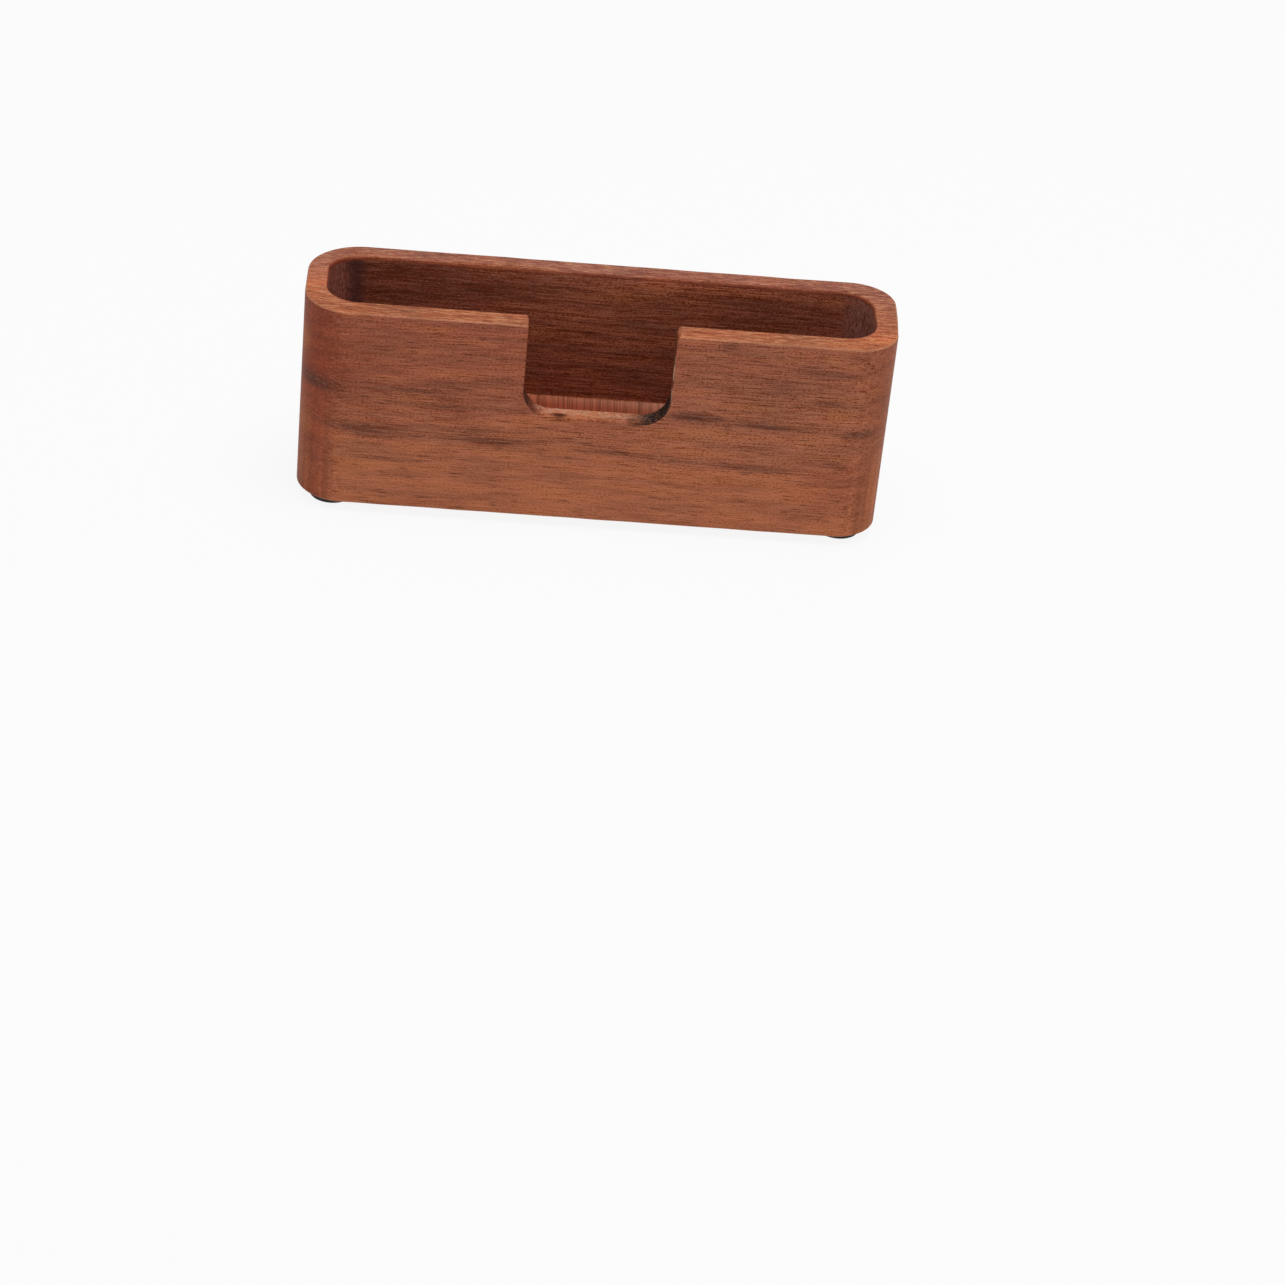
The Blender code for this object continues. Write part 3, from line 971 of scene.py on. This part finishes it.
def walnut_routed_notch():
    """Notch as the router left it: pale torn fibres along its bottom and scorched corners."""
    material, tree, shader = new_material("walnut_routed_notch")
    figure = walnut_figure(tree, broad_tone=0.26, pale_tone=0.70, dark_tone=2.2)
    (mm, x, y, z), (facing, to_end, _), colour, relief = figure
    to_right, _, to_top = add(tree, "SeparateXYZ", (facing,)).node.outputs
    colour = cut_tubes(tree, mm, to_end, colour)

    # Torn fibres, palest behind the middle of the wall
    spread = add(tree, "VectorMath", (mm, TORN_SIZE), operation="DIVIDE")
    torn = add(tree, "TexNoise", {"Vector": spread, "Scale": 1.0, "Detail": 3.0, "Roughness": 0.7})
    flat = add(tree, "MapRange", (to_top, 0.74, 0.97, 0.0, 1.0), **SOFT)
    inward = add(tree, "MapRange", (y, *TORN_SPAN, *TORN_SHARES), **SOFT)
    pale = add(tree, "MapRange", (torn, *TORN_LEVELS, 0.0, 1.0))
    pale = add(tree, "Math", (pale, flat), **TIMES)
    pale = add(tree, "Math", (pale, inward), **TIMES)
    colour = add(tree, "Mix", {0: pale, 6: colour, 7: TORN_PALE}, **BLEND)

    # The front edge is duller, and its chips get painted shade
    dull = add(tree, "MapRange", (y, *DULL_SPAN, *DULL_TONES))
    colour = add(tree, "Mix", {0: 1.0, 6: colour, 7: dull}, **TINT)
    for along, half, _, shade_strength in CHIPS:
        middle = (along / MM, CHIP_PLACE, 0.0)
        offset = add(tree, "VectorMath", (mm, middle), operation="SUBTRACT")
        extent = (CHIP_SPREAD * half / MM, CHIP_REACH, ANY_HEIGHT)
        share = add(tree, "VectorMath", (offset, extent), operation="DIVIDE")
        reach = add(tree, "VectorMath", (share,), out="Value", operation="LENGTH")
        chip_shade = add(tree, "MapRange", (reach, *CHIP_EDGE, shade_strength, 0.0), **SOFT)
        colour = add(tree, "Mix", {0: chip_shade, 6: colour, 7: CHIP_SHADE}, **BLEND)

    # Dark right side, with pale fuzz in tufts down its front edge
    spread = add(tree, "VectorMath", (mm, TUFT_SIZE), operation="DIVIDE")
    tuft = add(tree, "TexNoise", {"Vector": spread, "Scale": 1.0, "Detail": 2.0})
    tuft = add(tree, "MapRange", (tuft, *TUFT_LEVELS, 0.0, 1.0))
    below_rim = add(tree, "MapRange", (z, *FUZZ_BELOW, 0.0, 1.0))
    tuft = add(tree, "Math", (tuft, below_rim), **TIMES)
    at_front = add(tree, "MapRange", (y, *FUZZ_FORE, 0.0, 1.0))
    tuft = add(tree, "Math", (tuft, at_front), **TIMES)
    right_side = add(tree, "MapRange", (to_right, -0.6, -0.95, 0.0, 1.0))
    darkened = add(tree, "Math", (right_side, SIDE_SHARE), **TIMES)
    colour = add(tree, "Mix", {0: darkened, 6: colour, 7: SIDE_DARK}, **BLEND)
    fuzzy = add(tree, "Math", (right_side, tuft), **TIMES)
    colour = add(tree, "Mix", {0: fuzzy, 6: colour, 7: FUZZ_PALE}, **BLEND)

    # Scorched corners, the right one darker and further round
    bottom = (NOTCH_BOTTOM - BASE) / MM
    top_span = [bottom + height for height in SCORCH_TOP]
    under = add(tree, "MapRange", (z, *top_span, 0.0, 1.0), **SOFT)
    jag = add(tree, "MapRange", (torn, 0.35, 0.65, -SCORCH_JAG, SCORCH_JAG))
    jagged = add(tree, "Math", (x, jag), operation="ADD")
    for near, far, strength, clear in SCORCHES:
        out = add(tree, "MapRange", (jagged, near, far, 0.0, strength), **SOFT)
        burnt = add(tree, "Math", (under, out), **TIMES)
        lowest = bottom + clear
        above = add(tree, "MapRange", (z, lowest, lowest + SCORCH_FADE, 0.0, 1.0))
        burnt = add(tree, "Math", (burnt, above), **TIMES)
        rough = add(tree, "MapRange", (torn, 0.62, 0.42, *SCORCH_SHARES))
        burnt = add(tree, "Math", (burnt, rough), **TIMES)
        colour = add(tree, "Mix", {0: burnt, 6: colour, 7: SCORCH}, **BLEND)

    finish_wood(tree, shader, colour, relief, roughness=0.8, depth=0.1 * MM, gloss=0.0)
    return material


RUBBER_BLACK = linear("#191818")
RUBBER_DUST = linear("#4a4541")

# Grain of the mould, its depth, and spots of dust, in millimetres, then how the surface shines
RUBBER_GRAIN = 0.12
RUBBER_RELIEF = 0.03
DUST_SIZE = 0.9
DUST_SHARE = 0.5
RUBBER_ROUGHNESS = (0.58, 0.85)
RUBBER_IOR = 1.52
RUBBER_SHINE = 0.4


def rubber_moulded_black():
    """Moulded black rubber: matt, with the fine grain of its mould and a little dust rubbed in."""
    material, tree, shader = new_material("rubber_moulded_black")
    place = add(tree, "TexCoord", {}, out="Object")
    grain = add(tree, "TexNoise", {"Vector": place, "Scale": 1 / (RUBBER_GRAIN * MM), "Detail": 2.0})
    dusty = {"Vector": place, "Scale": 1 / (DUST_SIZE * MM), "Detail": 4.0, "Roughness": 0.7}
    dust = add(tree, "TexNoise", dusty)
    share = add(tree, "MapRange", (dust, 0.50, 0.75, 0.0, DUST_SHARE))
    colour = add(tree, "Mix", {0: share, 6: RUBBER_BLACK, 7: RUBBER_DUST}, **BLEND)
    roughness = add(tree, "MapRange", (dust, 0.35, 0.70, *RUBBER_ROUGHNESS))
    bump = add(tree, "Bump", {"Strength": 0.4, "Distance": RUBBER_RELIEF * MM, "Height": grain})
    tree.links.new(colour, shader.inputs["Base Color"])
    tree.links.new(roughness, shader.inputs["Roughness"])
    tree.links.new(bump, shader.inputs["Normal"])
    shader.inputs["IOR"].default_value = RUBBER_IOR
    shader.inputs["Specular IOR Level"].default_value = RUBBER_SHINE
    return material


FILM_MILKY = linear("#cfc9b8")
FILM_CLOUDY = linear("#b3aa94")

# Clouds of air in millimetres, then how the surface shines
CLOUD_SIZE = 1.1
FILM_ROUGHNESS = (0.30, 0.50)
FILM_IOR = 1.47


def adhesive_film_milky():
    """Double-sided acrylic film, die-cut: thin, smooth and milky, and cloudy where air is caught."""
    material, tree, shader = new_material("adhesive_film_milky")
    place = add(tree, "TexCoord", {}, out="Object")
    cloud = add(tree, "TexNoise", {"Vector": place, "Scale": 1 / (CLOUD_SIZE * MM), "Detail": 3.0})
    share = add(tree, "MapRange", (cloud, 0.40, 0.65, 0.0, 1.0))
    colour = add(tree, "Mix", {0: share, 6: FILM_MILKY, 7: FILM_CLOUDY}, **BLEND)
    roughness = add(tree, "MapRange", (cloud, 0.30, 0.70, *FILM_ROUGHNESS))
    tree.links.new(colour, shader.inputs["Base Color"])
    tree.links.new(roughness, shader.inputs["Roughness"])
    shader.inputs["IOR"].default_value = FILM_IOR
    return material


PAPER = linear("#e0e0e0")
WHITE = linear("#ffffff")


def seen_white(tree):
    """1 for rays that look at the background, straight or by way of gloss or glass."""
    ray = add(tree, "LightPath", {}).node.outputs
    seen = add(tree, "Math", (ray["Is Camera Ray"], ray["Is Glossy Ray"]), operation="MAXIMUM")
    return add(tree, "Math", (seen, ray["Is Transmission Ray"]), operation="MAXIMUM")


def make_stage():
    """Wide matt paper floor at the feet, lifted to white for the eye while it keeps the shadow."""
    material, tree, shader = new_material("matt_white_paper")
    shader.inputs["Base Color"].default_value = PAPER
    shader.inputs["Roughness"].default_value = 0.9
    shader.inputs["Specular IOR Level"].default_value = 0.0
    share = add(tree, "Math", (seen_white(tree), PAPER_GLOW), **TIMES)
    glow = add(tree, "Emission", {"Color": WHITE, "Strength": 1.0})
    lifted = add(tree, "MixShader", (share, shader.outputs[0], glow))
    tree.links.new(lifted, tree.nodes["Material Output"].inputs["Surface"])
    solid = bmesh.new()
    bmesh.ops.create_grid(solid, x_segments=4, y_segments=4, size=FLOOR_REACH)
    new_piece("paper_floor", solid, [material])


def make_light():
    """Even pale surroundings and one large softbox above, a little to the right and in front."""
    scene = bpy.context.scene
    world = bpy.data.worlds.new("pale_studio")
    scene.world = world
    world.use_nodes = True
    tree = world.node_tree
    dimmed = (seen_white(tree), 1.0 - WORLD_LEVEL, WORLD_LEVEL)
    level = add(tree, "Math", dimmed, operation="MULTIPLY_ADD")
    surround = tree.nodes["Background"]
    surround.inputs["Color"].default_value = WHITE
    tree.links.new(level, surround.inputs["Strength"])
    lamp = bpy.data.lights.new("softbox", "AREA")
    lamp.shape = "RECTANGLE"
    lamp.size, lamp.size_y = KEY_SIZE
    lamp.energy = KEY_WATTS
    softbox = bpy.data.objects.new("softbox", lamp)
    softbox.location = KEY_PLACE
    softbox.rotation_euler = (-KEY_PLACE).to_track_quat("-Z", "Y").to_euler()
    scene.collection.objects.link(softbox)
    scene.view_settings.view_transform = "Standard"


def make_camera():
    """Camera at the photograph's viewing angle."""
    back = Vector((math.sin(VIEW_AZIMUTH) * math.cos(VIEW_ELEVATION),
                   -math.cos(VIEW_AZIMUTH) * math.cos(VIEW_ELEVATION),
                   math.sin(VIEW_ELEVATION)))
    level_right = (-back).cross(Vector((0, 0, 1))).normalized()
    level_up = level_right.cross(-back)
    right = level_right * math.cos(VIEW_ROLL) + level_up * math.sin(VIEW_ROLL)
    up = level_up * math.cos(VIEW_ROLL) - level_right * math.sin(VIEW_ROLL)
    data = bpy.data.cameras.new("photo_camera")
    data.sensor_width = SENSOR
    data.lens = FOCAL_PIXELS / PHOTO_SIZE * SENSOR
    data.clip_start = NEAREST_SEEN
    data.clip_end = FURTHEST_SEEN
    camera = bpy.data.objects.new("photo_camera", data)
    turn = Matrix((right, up, back)).transposed().to_4x4()
    camera.matrix_world = Matrix.Translation(VIEW_TARGET + back * VIEW_DISTANCE) @ turn
    bpy.context.scene.collection.objects.link(camera)
    bpy.context.scene.camera = camera


make_camera()
make_body([walnut_sanded_and_oiled(), walnut_milled_pocket(), walnut_routed_notch()])
make_feet(rubber_moulded_black(), adhesive_film_milky())
make_stage()
make_light()
